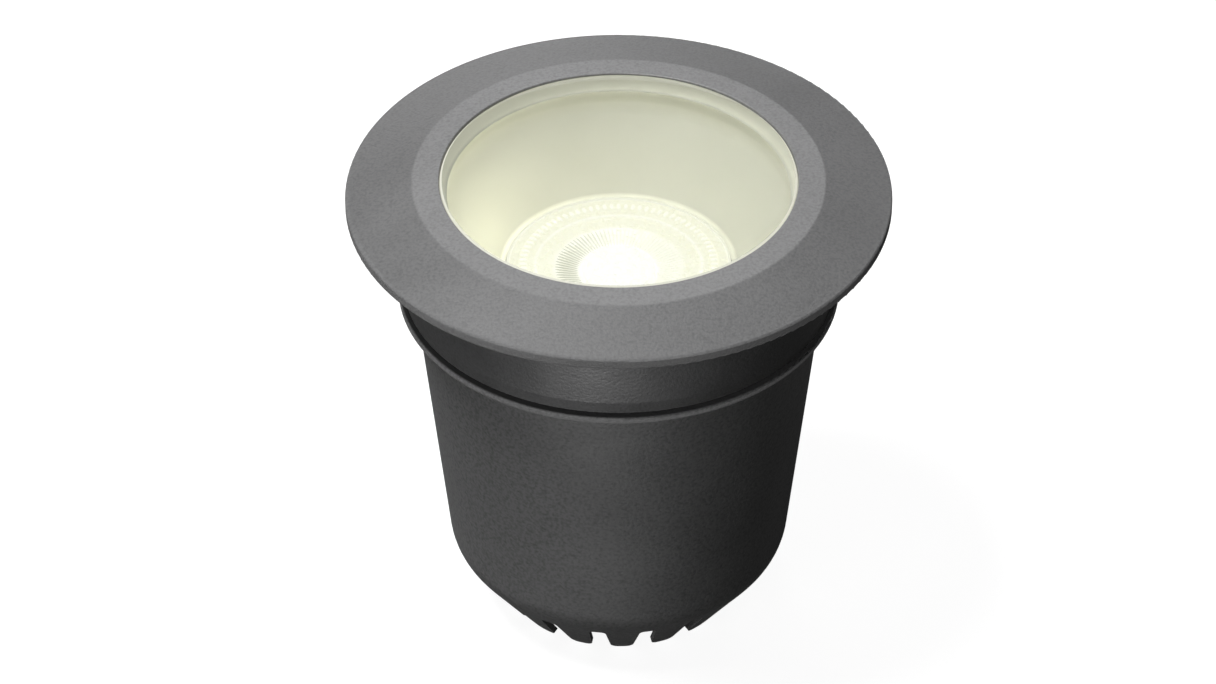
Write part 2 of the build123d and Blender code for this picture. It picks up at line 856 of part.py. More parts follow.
def gland_body():
    """Gland body: hexagon under the pot, one thread up through its floor, one down for the nut."""
    hex_low = gland_low + gland_stub
    hex_top = hex_low + gland_hex
    thread_top = pot_floor_top + locknut_height + thread_over
    body = hexagon(gland_across_flats, hex_low, hex_top, 0, gland_y)
    body += post(gland_thread_radius, hex_top, thread_top, 0, gland_y)
    body += post(gland_stub_radius, gland_low, hex_low, 0, gland_y)
    body -= post(gland_bore, gland_low, thread_top, 0, gland_y)
    return body - post(seal_radius + fit_clearance, gland_low, gland_low + seal_length, 0, gland_y)


def gland_washer_ring():
    """Flat rubber washer between the gland and the pot."""
    low = pot_bottom - gland_washer
    ring = post(gland_across_flats / 2, low, pot_bottom, 0, gland_y)
    return ring - post(gland_thread_radius + fit_clearance, low, pot_bottom, 0, gland_y)


def gland_locknut():
    """Hexagonal nut on the gland's thread inside the pot."""
    high = pot_floor_top + locknut_height
    nut = hexagon(gland_across_flats, pot_floor_top, high, 0, gland_y)
    return nut - post(gland_thread_radius + fit_clearance, pot_floor_top, high, 0, gland_y)


def gland_seal():
    """Rubber sleeve that grips the cable."""
    high = gland_low + seal_length
    seal = post(seal_radius, gland_low, high, 0, gland_y)
    return seal - post(seal_bore, gland_low, high, 0, gland_y)


def gland_nut():
    """Domed nut that closes the seal on the cable."""
    low = gland_low - nut_mouth
    high = gland_low + gland_stub - slot_clearance
    corner = gland_across_flats / 2 / cos(pi / 6)
    dome = turned(
        (0, low),
        (nut_dome_radius, low, nut_mouth_edge),
        (corner, low + nut_dome_height, nut_shoulder_radius),
        (corner, high),
        (0, high),
    )
    nut = hexagon(gland_across_flats, low, high) & dome
    nut -= post(gland_stub_radius + fit_clearance, gland_low, high)
    nut -= post(nut_mouth_radius, low, gland_low)
    return Pos(0, gland_y, 0) * nut


def friction_springs():
    """Bowed leaf springs that press on the sleeve; each has a flat tab under its screw."""
    bow = pot_gap * cos(radians(sleeve_draft)) - spring_clearance
    start = spring_tab / 2
    end = start + spring_bow
    middle = (start + end) / 2
    outer = ThreePointArc((start, spring_thickness), (middle, bow), (end, spring_thickness))
    inner = ThreePointArc((end, 0), (middle, bow - spring_thickness), (start, 0))
    edges = [
        Line((-start, 0), (-start, spring_thickness)),
        Line((-start, spring_thickness), (start, spring_thickness)),
        outer,
        Line((end, spring_thickness), (end, 0)),
        inner,
        Line((start, 0), (-start, 0)),
    ]
    side = Plane(origin=(0, 0, 0), x_dir=(1, 0, 0), z_dir=(0, -1, 0))
    leaf = extrude(side * make_face(edges), spring_width / 2, both=True)
    leaf -= post(screw_hole, -cut_over, spring_thickness + cut_over)
    placed = wall_plane(spring_screw_z()) * leaf
    return around(placed, spring_count, spring_start_angle)


def spring_screws():
    """One screw for each spring."""
    placed = wall_plane(spring_screw_z()) * screw(spring_thickness, spring_screw_length)
    return around(placed, spring_count, spring_start_angle)


nodes = {
    "mounting_sleeve": mounting_sleeve,
    "bezel_ring": bezel_ring,
    "glass_pane": glass_pane,
    "glass_gasket": glass_gasket,
    "reflector_cone": reflector_cone,
    "housing": housing,
    "housing_o_ring": housing_o_ring,
    "lamp_shell": lamp_shell,
    "lamp_lens": lamp_lens,
    "lamp_led_board": lamp_led_board,
    "lamp_base": lamp_base,
    "lamp_pins": lamp_pins,
    "lampholder_cover": lampholder_cover,
    "lampholder_body": lampholder_body,
    "holder_contacts": holder_contacts,
    "holder_screws": holder_screws,
    "holder_bracket": holder_bracket,
    "bracket_screws": bracket_screws,
    "terminal_block": terminal_block,
    "terminal_screws": terminal_screws,
    "terminal_block_screw": terminal_block_screw,
    "earth_tag": earth_tag,
    "earth_screw": earth_screw,
    "live_wire": live_wire,
    "neutral_wire": neutral_wire,
    "earth_wire": earth_wire,
    "gland_body": gland_body,
    "gland_washer": gland_washer_ring,
    "gland_locknut": gland_locknut,
    "gland_seal": gland_seal,
    "gland_nut": gland_nut,
    "friction_springs": friction_springs,
    "spring_screws": spring_screws,
}

os.makedirs("parts", exist_ok=True)
for name, make in nodes.items():
    made = make()
    pieces = made if isinstance(made, list) else [made]
    solids = [solid for piece in pieces for solid in piece.solids()]
    export_step(Compound(children=solids), f"parts/{name}.step")
print("window opening radius", window_radius, "height", round(bezel_top, 3))
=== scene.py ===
# %% [markdown]
# # An in ground well light
# The real object is a small uplighter for gardens. A dark cast ring holds a thick round glass over
# a white funnel with a lit reflector lamp at its bottom. All of it drops into a tapered plastic
# sleeve that stays in the ground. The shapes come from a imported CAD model, so this lesson is about
# finishes, about the fine repeats that CAD leaves out, and about a quiet studio.

# %% Load the frame
import json
import math

import bmesh
import bpy
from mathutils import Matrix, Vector

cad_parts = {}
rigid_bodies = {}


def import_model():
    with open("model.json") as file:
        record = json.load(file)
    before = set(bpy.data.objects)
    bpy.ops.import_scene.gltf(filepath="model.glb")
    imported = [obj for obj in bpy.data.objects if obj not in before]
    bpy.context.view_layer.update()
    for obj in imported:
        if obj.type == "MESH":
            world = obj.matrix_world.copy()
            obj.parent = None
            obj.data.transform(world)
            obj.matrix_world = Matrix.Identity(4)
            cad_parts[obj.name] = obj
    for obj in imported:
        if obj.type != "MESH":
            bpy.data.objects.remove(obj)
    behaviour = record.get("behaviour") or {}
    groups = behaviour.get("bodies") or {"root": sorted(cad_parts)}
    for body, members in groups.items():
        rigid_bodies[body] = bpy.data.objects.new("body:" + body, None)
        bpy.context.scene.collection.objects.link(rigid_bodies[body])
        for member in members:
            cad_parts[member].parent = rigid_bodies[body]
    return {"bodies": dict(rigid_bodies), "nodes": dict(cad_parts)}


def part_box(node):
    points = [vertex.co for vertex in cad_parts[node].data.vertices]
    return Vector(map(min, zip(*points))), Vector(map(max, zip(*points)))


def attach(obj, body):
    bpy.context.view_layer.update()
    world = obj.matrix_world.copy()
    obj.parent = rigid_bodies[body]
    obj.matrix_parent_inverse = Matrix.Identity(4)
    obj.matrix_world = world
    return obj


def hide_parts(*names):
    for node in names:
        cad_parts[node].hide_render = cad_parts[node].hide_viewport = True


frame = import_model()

MM = 0.001
nodes, bodies = frame["nodes"], frame["bodies"]


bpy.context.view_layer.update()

# %% [markdown]
# ## The viewpoint
# The photograph was taken with a long lens from well above. Its ellipses give the tilt, and the way
# that the body narrows towards its foot gives the distance. A camera could be moved by hand until
# it looks right, but it is easier to check when it is placed by what it looks at, how far away it
# stands and how high it looks down. The lens is measured in pixels of the picture, and a sideways
# shift puts the object's axis where it was, a little right of the middle.

# %% Camera
AIM = Vector((0, 0, 66.8 * MM))
DISTANCE = 1127.8 * MM
LOOK_DOWN = math.radians(38.28)
SENSOR_WIDTH = 36
PHOTO_WIDTH = 1216
FOCAL_PIXELS = 5022.9
AXIS_PIXEL = 618.7
NEAR, FAR = 0.01, 50


def stand(name, data):
    """A new object in the scene that shows this data."""
    made = bpy.data.objects.new(name, data)
    bpy.context.scene.collection.objects.link(made)
    return made


def look_along(thing, way):
    """Turns a camera or a lamp so that it looks this way."""
    thing.rotation_mode = "QUATERNION"
    thing.rotation_quaternion = way.to_track_quat("-Z", "Y")


camera_data = bpy.data.cameras.new("camera")
camera_data.sensor_width = SENSOR_WIDTH
camera_data.lens = FOCAL_PIXELS / PHOTO_WIDTH * SENSOR_WIDTH
camera_data.shift_x = (PHOTO_WIDTH / 2 - AXIS_PIXEL) / PHOTO_WIDTH
camera_data.clip_start, camera_data.clip_end = NEAR, FAR
camera = stand("camera", camera_data)
away = Vector((0, -math.cos(LOOK_DOWN), math.sin(LOOK_DOWN)))
camera.location = AIM + away * DISTANCE
look_along(camera, -away)
bpy.context.scene.camera = camera
print("lens in mm:", round(camera_data.lens, 1))

# %% [markdown]
# ## Building node trees in code
# Materials and Geometry Nodes are both graphs of nodes. A few small helpers keep the code readable:
# one adds a node, sets its properties and feeds its inputs with numbers or with the outputs of
# other nodes, one makes a group with named sockets that several materials can share, and the rest
# stand for the sums and places that come up again and again.

# %% Helpers for node trees
FLOAT, COLOUR = "NodeSocketFloat", "NodeSocketColor"
GEOMETRY, MATERIAL, INTEGER = "NodeSocketGeometry", "NodeSocketMaterial", "NodeSocketInt"


def add(tree, kind, feeds=(), **settings):
    """A node of this kind. feeds gives its inputs, by name or number, values or other sockets."""
    made = tree.nodes.new(kind)
    for name, value in settings.items():
        setattr(made, name, value)
    for name, value in dict(feeds).items():
        if isinstance(value, bpy.types.NodeSocket):
            tree.links.new(value, made.inputs[name])
        else:
            made.inputs[name].default_value = value
    return made


def group(name, kind, inputs, outputs):
    """An empty node group with these (name, socket type, default) inputs and (name, type) outputs."""
    tree = bpy.data.node_groups.new(name, kind)
    for label, socket, value in inputs:
        made = tree.interface.new_socket(label, in_out="INPUT", socket_type=socket)
        if value is not None:
            made.default_value = value
    for label, socket in outputs:
        tree.interface.new_socket(label, in_out="OUTPUT", socket_type=socket)
    return tree, tree.nodes.new("NodeGroupInput"), tree.nodes.new("NodeGroupOutput")


def maths(tree, operation, a, b=0.0):
    """The output of a Math node."""
    return add(tree, "ShaderNodeMath", {0: a, 1: b}, operation=operation).outputs[0]


def scaled(tree, colour, factor):
    """A colour or vector times a number."""
    feeds = {0: colour, "Scale": factor}
    return add(tree, "ShaderNodeVectorMath", feeds, operation="SCALE").outputs[0]


def blend_colours(tree, share, a, b):
    """A colour between a and b. Each may be a colour or a socket."""
    return add(tree, "ShaderNodeMix", {0: share, 6: a, 7: b}, data_type="RGBA").outputs[2]


def spread(tree, value, low, high, to_low=0.0, to_high=1.0):
    """A value carried from one range to another and held inside it."""
    feeds = {0: value, 1: low, 2: high, 3: to_low, 4: to_high}
    return add(tree, "ShaderNodeMapRange", feeds, clamp=True).outputs[0]


def fade(tree, value, edge, start_mm, end_mm):
    """A mask that rises from 0 to 1 between two places, in mm short of or past an edge."""
    return spread(tree, value, edge + start_mm * MM, edge + end_mm * MM)


def own_place(tree):
    """Where the shaded point lies, in the piece's own coordinates."""
    return add(tree, "ShaderNodeTexCoord").outputs["Object"]


def along(tree, axis):
    """How far the shaded point lies along X, Y or Z."""
    return add(tree, "ShaderNodeSeparateXYZ", {"Vector": own_place(tree)}).outputs[axis]


def axis_distance(tree):
    """How far the shaded point lies from the upright axis."""
    feeds = {0: own_place(tree), 1: (1, 1, 0)}
    flat = add(tree, "ShaderNodeVectorMath", feeds, operation="MULTIPLY").outputs[0]
    return add(tree, "ShaderNodeVectorMath", {0: flat}, operation="LENGTH").outputs["Value"]


# %% [markdown]
# ## Grain, a finish that several pieces share
# The ring is cast and powder coated, and the sleeve is moulded in a spark-eroded tool. Both have a
# skin of small rounded bumps, like fine leather. A picture of leather could be wrapped round them,
# but it would stretch at the corners. Noise in the piece's own coordinates doesn't: a fine one
# makes the grains, rounded cells cut the pits between them, and a broad one is the slow drift of
# tone over a real casting. The grain is given in millimetres, so it keeps its scale on every side.

# %% Shader group: cast grain
CELL_CUT = 0.45
PIT_LEVEL, CROWN_LEVEL = 0.02, 0.42
DRIFT_PER_METRE = 45.0
DRIFT_ON_ROUGHNESS = 1.2


def make_cast_grain():
    tree, given, result = group(
        "cast_grain",
        "ShaderNodeTree",
        [
            ("Tone", COLOUR, (0.1, 0.1, 0.1, 1)),
            ("Pit Tone", COLOUR, (0.05, 0.05, 0.05, 1)),
            ("Grain mm", FLOAT, 0.5),
            ("Roughness", FLOAT, 0.5),
            ("Drift", FLOAT, 0.08),
        ],
        [("Color", COLOUR), ("Roughness", FLOAT), ("Height", FLOAT)],
    )
    place = own_place(tree)
    per_metre = maths(tree, "DIVIDE", 1 / MM, given.outputs["Grain mm"])
    fine = add(
        tree, "ShaderNodeTexNoise",
        {"Vector": place, "Scale": per_metre, "Detail": 2.0, "Roughness": 0.55},
    ).outputs[0]
    cells = add(
        tree, "ShaderNodeTexVoronoi",
        {"Vector": place, "Scale": per_metre, "Randomness": 1.0},
        feature="SMOOTH_F1",
    ).outputs["Distance"]
    broad = add(
        tree, "ShaderNodeTexNoise", {"Vector": place, "Scale": DRIFT_PER_METRE, "Detail": 3.0}
    ).outputs[0]
    height = maths(tree, "SUBTRACT", fine, maths(tree, "MULTIPLY", cells, CELL_CUT))
    shade = spread(tree, height, PIT_LEVEL, CROWN_LEVEL)
    tone = blend_colours(tree, shade, given.outputs["Pit Tone"], given.outputs["Tone"])
    around_zero = maths(tree, "SUBTRACT", broad, 0.5)
    drift = maths(tree, "MULTIPLY", around_zero, given.outputs["Drift"])
    toned = scaled(tree, tone, maths(tree, "ADD", drift, 1.0))
    on_roughness = maths(tree, "MULTIPLY", drift, DRIFT_ON_ROUGHNESS)
    rough = maths(tree, "ADD", given.outputs["Roughness"], on_roughness)
    for label, socket in (("Color", toned), ("Roughness", rough), ("Height", height)):
        tree.links.new(socket, result.inputs[label])
    return tree


cast_grain = make_cast_grain()
print("shader group:", cast_grain.name)

# %% [markdown]
# ## Handling marks
# Smooth plastic, ceramic and metal are never even: they carry faint smears, rubbed patches and
# fine dust. One group gives a soft mask for this, and each finish uses it in its own strength to
# vary its colour and its roughness. Stretched along Z the patches become the streaks of rolled metal.

# %% Shader group: handling
CLEAN_LEVEL, MARKED_LEVEL = 0.42, 0.68


def make_handling():
    tree, given, result = group(
        "handling",
        "ShaderNodeTree",
        [
            ("Tone", COLOUR, (0.8, 0.8, 0.8, 1)),
            ("Marked Tone", COLOUR, (0.7, 0.7, 0.7, 1)),
            ("Roughness", FLOAT, 0.4),
            ("Marked Roughness", FLOAT, 0.5),
            ("Patch mm", FLOAT, 6.0),
            ("Stretch Z", FLOAT, 1.0),
        ],
        [("Color", COLOUR), ("Roughness", FLOAT), ("Height", FLOAT)],
    )
    stretch = add(
        tree, "ShaderNodeCombineXYZ", {"X": 1.0, "Y": 1.0, "Z": given.outputs["Stretch Z"]}
    ).outputs[0]
    stretched = add(
        tree, "ShaderNodeVectorMath", {0: own_place(tree), 1: stretch}, operation="MULTIPLY"
    ).outputs[0]
    per_metre = maths(tree, "DIVIDE", 1 / MM, given.outputs["Patch mm"])
    patches = add(
        tree, "ShaderNodeTexNoise",
        {"Vector": stretched, "Scale": per_metre, "Detail": 4.0, "Roughness": 0.6},
    ).outputs[0]
    mask = spread(tree, patches, CLEAN_LEVEL, MARKED_LEVEL)
    tone = blend_colours(tree, mask, given.outputs["Tone"], given.outputs["Marked Tone"])
    rough = spread(
        tree, mask, 0.0, 1.0, given.outputs["Roughness"], given.outputs["Marked Roughness"]
    )
    for label, socket in (("Color", tone), ("Roughness", rough), ("Height", patches)):
        tree.links.new(socket, result.inputs[label])
    return tree


handling = make_handling()
print("shader group:", handling.name)

# %% [markdown]
# ## From a group to a material
# Every finish below is the same three steps: place a group with the finish's own values, feed its
# colour and roughness to the shader, and turn its height into a bump. What is the same all over the
# piece, such as metal or not, is set on the shader itself. What holds for one part of a piece only,
# such as a dull lip or a lit rim, is put between the group and the shader afterwards.

# %% Helpers for materials
def grey(value):
    """A neutral colour."""
    return (value, value, value, 1)


def blank(name):
    """A new material, with its node tree and its shader."""
    material = bpy.data.materials.new(name)
    material.use_nodes = True
    tree = material.node_tree
    return material, tree, tree.nodes["Principled BSDF"]


def feed(shader, label, socket):
    """Leads a socket to an input of the shader."""
    shader.id_data.links.new(socket, shader.inputs[label])


def fed_by(shader, label):
    """The socket that feeds an input of the shader so far."""
    return shader.inputs[label].links[0].from_socket


def finish(name, shared, values, bump=0.0, bump_mm=0.05, **shader_values):
    """A material with one shared group behind its shader. Returns it with its tree and shader."""
    material, tree, shader = blank(name)
    made = add(tree, "ShaderNodeGroup", values, node_tree=shared)
    feed(shader, "Base Color", made.outputs["Color"])
    feed(shader, "Roughness", made.outputs["Roughness"])
    if bump:
        feeds = {"Strength": bump, "Distance": bump_mm * MM, "Height": made.outputs["Height"]}
        feed(shader, "Normal", add(tree, "ShaderNodeBump", feeds).outputs[0])
    for label, value in shader_values.items():
        shader.inputs[label.replace("_", " ")].default_value = value
    return material, tree, shader


def handled(name, tones, roughness, patch_mm, bump=0.0, stretch=1.0, **shader_values):
    """A finish with handling marks. tones and roughness each hold a clean and a marked value."""
    values = {
        "Tone": tones[0], "Marked Tone": tones[1], "Roughness": roughness[0],
        "Marked Roughness": roughness[1], "Patch mm": patch_mm, "Stretch Z": stretch,
    }
    return finish(name, handling, values, bump, **shader_values)


def dull(tree, shader, mask, amount):
    """Makes a finish rougher where the mask is 1."""
    more = maths(tree, "MULTIPLY", mask, amount)
    feed(shader, "Roughness", maths(tree, "ADD", fed_by(shader, "Roughness"), more))


def light_up(tree, shader, mask, low, high):
    """Makes a finish glow in one colour where the mask is 0 and in another where it is 1."""
    feed(shader, "Emission Color", blend_colours(tree, mask, low, high))


def dress(material, *names):
    """Gives CAD nodes this material."""
    for name in names:
        slots = nodes[name].data.materials
        slots.clear()
        slots.append(material)
    print(material.name, "on", ", ".join(names))


# %% [markdown]
# ## The ring's powder coat
# The coat is a dark grey with a soft sheen and a grain of about 0.6 mm. The flat ring round the
# window is painted lighter than the sloping flange. This is painted light for the light that its
# flatter face catches from above. The flange's outer edge is duller, so that no bright line runs
# round it. Three materials could do this, but their borders would be hard and would follow the
# facets. Masks over the distance from the axis fade, and stay true circles.

# %% The ring's coat
RING_EDGE, FLANGE_EDGE = 45.3 * MM, 60.0 * MM
RING_PAINTED_LIGHT = 1.42
EDGE_DULLER = 0.45

bezel_coat, bezel_tree, bezel_shader = finish(
    "bezel_coat", cast_grain,
    {"Tone": (0.118, 0.118, 0.119, 1), "Pit Tone": (0.085, 0.085, 0.086, 1), "Grain mm": 0.62,
     "Roughness": 0.44, "Drift": 0.22},
    bump=0.55, bump_mm=0.10, Specular_IOR_Level=0.5,
)
from_axis = axis_distance(bezel_tree)
on_ring = fade(bezel_tree, from_axis, RING_EDGE, 0.3, -0.3)
# Painted light: the coat on the flat ring is made lighter than on the flange.
coat = fed_by(bezel_shader, "Base Color")
ring_painted_light = scaled(bezel_tree, coat, RING_PAINTED_LIGHT)
feed(bezel_shader, "Base Color", blend_colours(bezel_tree, on_ring, coat, ring_painted_light))
dull(bezel_tree, bezel_shader, fade(bezel_tree, from_axis, FLANGE_EDGE, -0.9, -0.3), EDGE_DULLER)
dress(bezel_coat, "bezel_ring")

# %% [markdown]
# ## The sleeve's moulded grain
# The sleeve is dark plastic with a slightly coarser grain than the coat. Its walls stand upright
# and get little of the high light, so its tone is written lighter than the coat's and still comes
# out darker. Painted shade darkens the ledge where the collar meets it and the seam under the lip,
# and the lip itself is duller. Masks over height and over the distance from the axis find these.

# %% The sleeve's grain
# The ledge under the collar and the seam under the lip get painted shade, a near-black.
LEDGE_HEIGHT, LEDGE_INNER, LEDGE_OUTER = 84.35 * MM, 48.45 * MM, 48.95 * MM
LIP_FOOT = 83.2 * MM
PAINTED_SHADE = grey(0.012)
SEAM_SHADE_SHARE = 0.5
LIP_DULLER = 0.42

sleeve_grain, sleeve_tree, sleeve_shader = finish(
    "sleeve_grain", cast_grain,
    {"Tone": (0.185, 0.185, 0.186, 1), "Pit Tone": (0.085, 0.085, 0.086, 1), "Grain mm": 0.75,
     "Roughness": 0.46, "Drift": 0.09},
    bump=0.6, bump_mm=0.09, Specular_IOR_Level=0.6,
)
up = along(sleeve_tree, "Z")
on_top = fade(sleeve_tree, up, LEDGE_HEIGHT, -0.05, 0.1)
by_collar = spread(sleeve_tree, axis_distance(sleeve_tree), LEDGE_OUTER, LEDGE_INNER)
ledge_shade = maths(sleeve_tree, "MULTIPLY", on_top, by_collar)
not_above = fade(sleeve_tree, up, LIP_FOOT, 0.3, 0.05)
not_below = fade(sleeve_tree, up, LIP_FOOT, -0.3, -0.05)
in_seam = maths(sleeve_tree, "MULTIPLY", not_above, not_below)
seam_shade = maths(sleeve_tree, "MULTIPLY", in_seam, SEAM_SHADE_SHARE)
# Painted shade: the ledge and the seam are blended towards near-black.
painted_shade_mask = maths(sleeve_tree, "MAXIMUM", ledge_shade, seam_shade)
plastic = fed_by(sleeve_shader, "Base Color")
feed(sleeve_shader, "Base Color", blend_colours(sleeve_tree, painted_shade_mask, plastic, PAINTED_SHADE))
dull(sleeve_tree, sleeve_shader, fade(sleeve_tree, up, LIP_FOOT, -0.1, 0.1), LIP_DULLER)
dress(sleeve_grain, "mounting_sleeve")

# %% [markdown]
# ## The housing's coat
# The pot under the ring is a casting too, in a thinner and darker coat. It comes into sight when
# the light is lifted. The same grain group gives its finish, with nothing added.

# %% The housing's coat
housing_coat, _, _ = finish(
    "housing_coat", cast_grain,
    {"Tone": (0.075, 0.075, 0.08, 1), "Pit Tone": (0.05, 0.05, 0.054, 1), "Grain mm": 0.8,
     "Roughness": 0.42, "Drift": 0.25},
    bump=0.35, bump_mm=0.08,
)
dress(housing_coat, "housing")

# %% [markdown]
# ## White parts: funnel, lamp body, ceramic, terminal block
# The funnel is smooth moulded plastic with a satin face that spreads the light. The lamp's body is
# a similar white, the lampholder is pale ceramic with faint specks, and the terminal block is
# nylon. Light gets into the white plastic next to the lens and comes out again nearby. Real
# scattering takes long to render, so the narrow end of the funnel and the lamp's rim glow a little
# instead, where masks over height say so.

# %% Whites
NO_LIGHT = grey(0)
FUNNEL_GLOW, RIM_GLOW = (0.7, 0.7, 0.58, 1), (0.98, 0.975, 0.82, 1)
LIT_RIM_TONE = (0.03, 0.03, 0.027, 1)

lens_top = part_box("lamp_lens")[1].z
reflector_white, funnel_tree, funnel_shader = handled(
    "reflector_white", ((0.435, 0.435, 0.368, 1), (0.42, 0.42, 0.353, 1)), (0.42, 0.55), 14.0,
    bump=0.05, Emission_Strength=0.5,
)
by_lamp = fade(funnel_tree, along(funnel_tree, "Z"), lens_top, 0.1, -0.6)
light_up(funnel_tree, funnel_shader, by_lamp, NO_LIGHT, FUNNEL_GLOW)
lamp_white, lamp_tree, lamp_shader = handled(
    "lamp_white", ((0.80, 0.80, 0.77, 1), (0.74, 0.74, 0.71, 1)), (0.32, 0.5), 5.0,
    bump=0.08, Emission_Strength=0.88,
)
lit = fade(lamp_tree, along(lamp_tree, "Z"), lens_top, -2.6, -0.2)
light_up(lamp_tree, lamp_shader, lit, NO_LIGHT, RIM_GLOW)
shell = fed_by(lamp_shader, "Base Color")
feed(lamp_shader, "Base Color", blend_colours(lamp_tree, lit, shell, LIT_RIM_TONE))
ceramic, _, _ = handled(
    "ceramic", ((0.76, 0.74, 0.68, 1), (0.68, 0.66, 0.60, 1)), (0.55, 0.75), 1.6, bump=0.25
)
block_nylon, _, _ = handled(
    "block_nylon", ((0.70, 0.70, 0.67, 1), (0.63, 0.63, 0.60, 1)), (0.45, 0.6), 3.0, bump=0.1
)
dress(reflector_white, "reflector_cone")
dress(lamp_white, "lamp_shell", "lamp_base")
dress(ceramic, "lampholder_cover", "lampholder_body")
dress(block_nylon, "terminal_block")

# %% [markdown]
# ## Rubber, silicone and black nylon
# The gasket under the glass is pale translucent silicone. It carries light from the funnel round
# the edge of the glass, so it glows too, weakly at its inner edge and more behind it. The O-ring,
# the washer and the cable seal are black rubber. The gland is moulded nylon with a slight sheen.

# %% Rubbers and nylon
GASKET_SIGHT = 37.7 * MM
EDGE_SEEP, INNER_SEEP = (0.30, 0.30, 0.24, 1), (0.76, 0.76, 0.63, 1)

pale_silicone, silicone_tree, silicone_shader = handled(
    "pale_silicone", ((0.36, 0.36, 0.31, 1), (0.34, 0.34, 0.29, 1)), (0.5, 0.65), 7.0,
    bump=0.06, Emission_Strength=0.36,
)
behind_edge = fade(silicone_tree, axis_distance(silicone_tree), GASKET_SIGHT, 0.05, 0.9)
light_up(silicone_tree, silicone_shader, behind_edge, EDGE_SEEP, INNER_SEEP)
black_rubber, _, _ = handled(
    "black_rubber", (grey(0.018), grey(0.035)), (0.62, 0.8), 2.5, bump=0.2
)
gland_nylon, _, _ = handled(
    "gland_nylon", ((0.028, 0.028, 0.03, 1), (0.04, 0.04, 0.042, 1)), (0.35, 0.5), 3.0, bump=0.12
)
dress(pale_silicone, "glass_gasket")
dress(black_rubber, "housing_o_ring", "gland_washer", "gland_seal")
dress(gland_nylon, "gland_body", "gland_locknut", "gland_nut")

# %% [markdown]
# ## Metals
# Small steel parts are zinc plated: bright with a cloudy bloom. The leaf springs are rolled stainless
# with streaks along their length. Contacts and clamp screws are brass, and the lamp's pins and the
# earth tag are nickel plated. A metal has no colour of its own but that of its mirror image, so
# the shader's Metallic is 1 and the tones are those of the reflection.

# %% Metals
steel, _, _ = handled(
    "steel", ((0.56, 0.57, 0.58, 1), (0.44, 0.45, 0.46, 1)), (0.28, 0.45), 2.2,
    bump=0.06, Metallic=1.0,
)
spring_steel, _, _ = handled(
    "spring_steel", ((0.55, 0.55, 0.56, 1), (0.47, 0.47, 0.48, 1)), (0.22, 0.38), 1.2,
    bump=0.08, stretch=0.08, Metallic=1.0,
)
brass, _, _ = handled(
    "brass_contacts", ((0.68, 0.46, 0.17, 1), (0.52, 0.34, 0.13, 1)), (0.25, 0.42), 1.8,
    bump=0.05, Metallic=1.0,
)
plated, _, _ = handled(
    "plated_pins", ((0.66, 0.65, 0.61, 1), (0.55, 0.54, 0.50, 1)), (0.2, 0.35), 1.5,
    bump=0.04, Metallic=1.0,
)
dress(steel, "holder_screws", "holder_bracket", "bracket_screws", "terminal_block_screw",
      "earth_screw", "spring_screws")
dress(spring_steel, "friction_springs")
dress(brass, "holder_contacts", "terminal_screws")
dress(plated, "lamp_pins", "earth_tag")

# %% [markdown]
# ## Insulation
# Two wires are plain brown and blue. The earth wire is half green and half yellow along its whole
# length. It lies in one upright plane, so the side of that plane on which a point lies gives its
# colour.

# %% Wires
EARTH_POINT = Vector((-8 * MM, -22 * MM, 0))
ACROSS_EARTH = Vector((10, 13, 0)).normalized()
EARTH_YELLOW = (0.75, 0.55, 0.03, 1)


def insulation(name, tone, marked):
    """A finish for one wire's insulation."""
    return handled(name, (tone, marked), (0.38, 0.5), 2.0, bump=0.05)


brown, _, _ = insulation("brown_insulation", (0.13, 0.045, 0.018, 1), (0.10, 0.035, 0.015, 1))
blue, _, _ = insulation("blue_insulation", (0.02, 0.09, 0.36, 1), (0.016, 0.07, 0.29, 1))
green, green_tree, green_shader = insulation(
    "green_insulation", (0.04, 0.25, 0.04, 1), (0.03, 0.2, 0.03, 1)
)
from_point = add(
    green_tree, "ShaderNodeVectorMath", {0: own_place(green_tree), 1: EARTH_POINT},
    operation="SUBTRACT",
).outputs[0]
from_plane = add(
    green_tree, "ShaderNodeVectorMath", {0: from_point, 1: ACROSS_EARTH}, operation="DOT_PRODUCT"
).outputs["Value"]
far_side = fade(green_tree, from_plane, 0, -0.05, 0.05)
plain_green = fed_by(green_shader, "Base Color")
feed(green_shader, "Base Color", blend_colours(green_tree, far_side, plain_green, EARTH_YELLOW))
dress(brown, "live_wire")
dress(blue, "neutral_wire")
dress(green, "earth_wire")

# %% [markdown]
# ## The glass
# The pane is 8 mm thick, and its edge shows through its face as a pale band. A CAD mesh has flat
# facets, which break up what is seen through it, so the pane is turned again here, as on a lathe,
# with many more segments and smooth faces. Each corner of the profile becomes a ring of points,
# and faces join each ring to the next. Where two faces meet at a sharp angle, the edge between
# them is marked sharp, and the smooth shading stops there.

